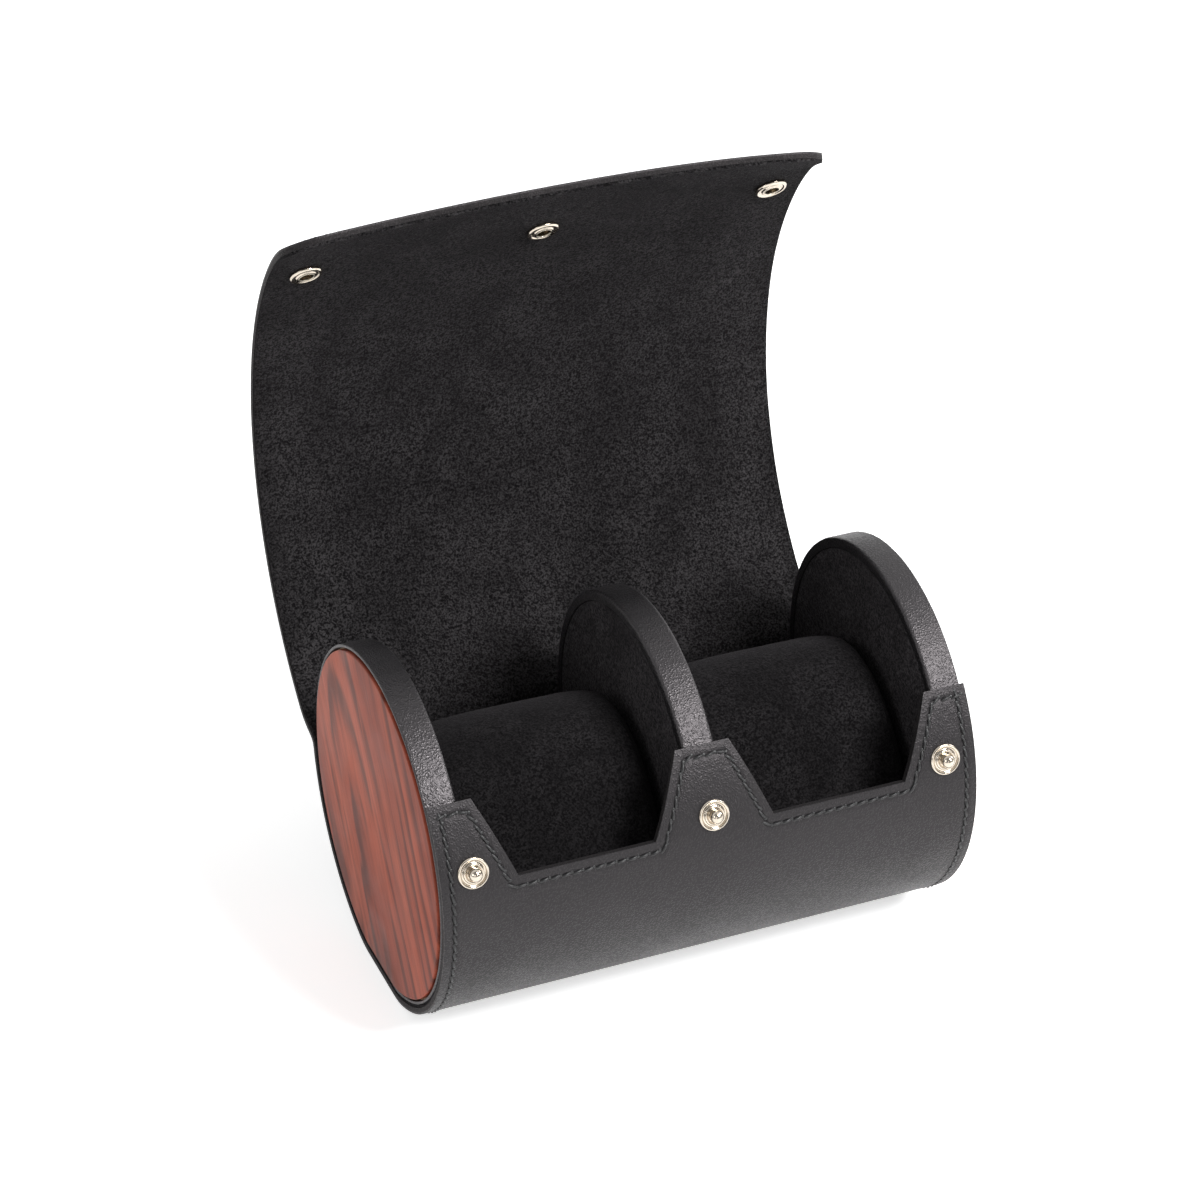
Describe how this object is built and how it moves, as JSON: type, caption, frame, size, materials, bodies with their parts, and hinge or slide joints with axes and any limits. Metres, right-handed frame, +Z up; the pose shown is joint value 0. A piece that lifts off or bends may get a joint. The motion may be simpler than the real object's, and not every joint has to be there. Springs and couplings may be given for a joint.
{
  "type": "watch travel case",
  "caption": "Roll-shaped leather travel case with round wood-inlaid ends, divided bays holding suede pillows, a scalloped front panel and a curling flap that closes on ball snaps.",
  "frame": {"origin": "middle of the flat underside the case stands on, straight below the centres of its round discs", "axes": "+X along the roll to the right end as seen from the front, -Y towards the front panel with the snap studs, +Z up"},
  "size_m": [0.151, 0.142, 0.1953],
  "materials": {
    "leather_body": "smooth fine-grained black leather, satin, with black stitching",
    "leather_rim": "smooth black leather, satin, pulled round the rims",
    "suede_lining": "black microsuede with a soft mottled nap",
    "suede_faces": "black microsuede, flat",
    "suede_pillow": "black microsuede over foam, sewn",
    "board": "grey-brown stiffening board, hidden",
    "disc_core": "plain fibreboard, hidden",
    "wood_inlay": "reddish-brown wood with darker arched grain, satin varnish",
    "nickel": "polished nickel plate",
    "rivet": "plain plated steel, hidden",
    "spring": "drawn spring wire",
    "foam": "cream foam, hidden"
  },
  "bodies": {
    "case": {"body_leather": "leather_body", "body_board": "board", "body_lining": "suede_lining", "left_end_core": "disc_core", "left_end_rim": "leather_rim", "left_end_suede": "suede_faces", "left_wood_inlay": "wood_inlay", "right_end_core": "disc_core", "right_end_rim": "leather_rim", "right_end_suede": "suede_faces", "right_wood_inlay": "wood_inlay", "divider_core": "disc_core", "divider_rim": "leather_rim", "divider_suede_left": "suede_faces", "divider_suede_right": "suede_faces", "snap_studs": "nickel", "snap_posts": "rivet"},
    "flap_1": {"flap_leather_1": "leather_body", "flap_board_1": "board", "flap_lining_1": "suede_lining"},
    "flap_2": {"flap_leather_2": "leather_body", "flap_board_2": "board", "flap_lining_2": "suede_lining"},
    "flap_3": {"flap_leather_3": "leather_body", "flap_board_3": "board", "flap_lining_3": "suede_lining"},
    "flap_4": {"flap_leather_4": "leather_body", "flap_board_4": "board", "flap_lining_4": "suede_lining"},
    "flap_5": {"flap_leather_5": "leather_body", "flap_board_5": "board", "flap_lining_5": "suede_lining"},
    "flap_6": {"flap_leather_6": "leather_body", "flap_board_6": "board", "flap_lining_6": "suede_lining", "snap_sockets": "nickel", "snap_springs": "spring", "snap_caps": "nickel"},
    "left_pillow": {"left_pillow_foam": "foam", "left_pillow_band": "suede_pillow", "left_pillow_ends": "suede_pillow"},
    "right_pillow": {"right_pillow_foam": "foam", "right_pillow_band": "suede_pillow", "right_pillow_ends": "suede_pillow"}
  },
  "joints": [
    {"name": "flap_fold", "type": "hinge", "parent": "case", "child": "flap_1", "pos_m": [0, 0.04908, 0.04565], "axis": [1, 0, 0], "range_deg": [0, 57.96]},
    {"name": "flap_bend_2", "type": "hinge", "parent": "flap_1", "child": "flap_2", "pos_m": [0, 0.06892, 0.06466], "axis": [1, 0, 0], "range_deg": [0, 13.47]},
    {"name": "flap_bend_3", "type": "hinge", "parent": "flap_2", "child": "flap_3", "pos_m": [0, 0.08211, 0.08876], "axis": [1, 0, 0], "range_deg": [0, 13.47]},
    {"name": "flap_bend_4", "type": "hinge", "parent": "flap_3", "child": "flap_4", "pos_m": [0, 0.08741, 0.11572], "axis": [1, 0, 0], "range_deg": [0, 13.47]},
    {"name": "flap_bend_5", "type": "hinge", "parent": "flap_4", "child": "flap_5", "pos_m": [0, 0.08434, 0.14303], "axis": [1, 0, 0], "range_deg": [0, 13.47]},
    {"name": "flap_bend_6", "type": "hinge", "parent": "flap_5", "child": "flap_6", "pos_m": [0, 0.07319, 0.16814], "axis": [1, 0, 0], "range_deg": [0, 12.28]},
    {"name": "left_pillow_lift", "type": "slide", "parent": "case", "child": "left_pillow", "axis": [0, 0.6428, 0.766], "range_m": [0, 0.02]},
    {"name": "right_pillow_lift", "type": "slide", "parent": "case", "child": "right_pillow", "axis": [0, 0.6428, 0.766], "range_m": [0, 0.02]}
  ],
  "couplings": [
    {"joint": "flap_bend_2", "follows": "flap_fold", "ratio": 0.23203},
    {"joint": "flap_bend_3", "follows": "flap_fold", "ratio": 0.23203},
    {"joint": "flap_bend_4", "follows": "flap_fold", "ratio": 0.23203},
    {"joint": "flap_bend_5", "follows": "flap_fold", "ratio": 0.23203},
    {"joint": "flap_bend_6", "follows": "flap_fold", "ratio": 0.21147}
  ]
}
